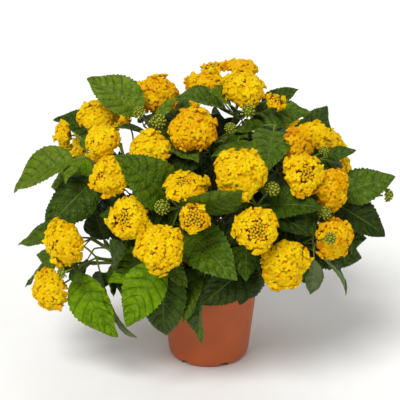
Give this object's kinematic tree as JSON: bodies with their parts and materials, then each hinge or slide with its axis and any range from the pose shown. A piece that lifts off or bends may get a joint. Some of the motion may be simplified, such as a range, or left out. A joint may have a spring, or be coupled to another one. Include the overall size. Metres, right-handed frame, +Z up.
{
  "type": "potted lantana",
  "caption": "Bushy lantana shrub with toothed ovate leaves and domed golden flower heads, standing in a tapered round nursery pot.",
  "frame": {"origin": "middle of the pot's flat underside, where the pot stands", "axes": "+Z up along the stem, -Y towards the crown's fullest side, +X to the right as seen from that side"},
  "size_m": [0.371, 0.3088, 0.3033],
  "materials": {
    "pot_plastic": "moulded, satin, terracotta colour",
    "potting_mix": "loose moist peat and fine bark",
    "bark": "thin fissured bark on young wood",
    "foliage": "quilted green leaves and golden florets"
  },
  "bodies": {
    "root": {"pot": "pot_plastic", "potting_mix": "potting_mix", "woody_stem": "bark", "bough_left_low": "bark", "spray_left_low": "foliage", "bough_left_high": "bark", "spray_left_high": "foliage", "bough_top_left": "bark", "spray_top_left": "foliage", "bough_top": "bark", "spray_top": "foliage", "bough_right_high": "bark", "spray_right_high": "foliage", "bough_right_low": "bark", "spray_right_low": "foliage", "bough_front_high": "bark", "spray_front_high": "foliage", "bough_front_low": "bark", "spray_front_low": "foliage", "bough_front_left": "bark", "spray_front_left": "foliage", "bough_back_left": "bark", "spray_back_left": "foliage", "bough_back_low": "bark", "spray_back_low": "foliage", "bough_back_right": "bark", "spray_back_right": "foliage", "bough_back_high": "bark", "spray_back_high": "foliage"}
  },
  "joints": []
}
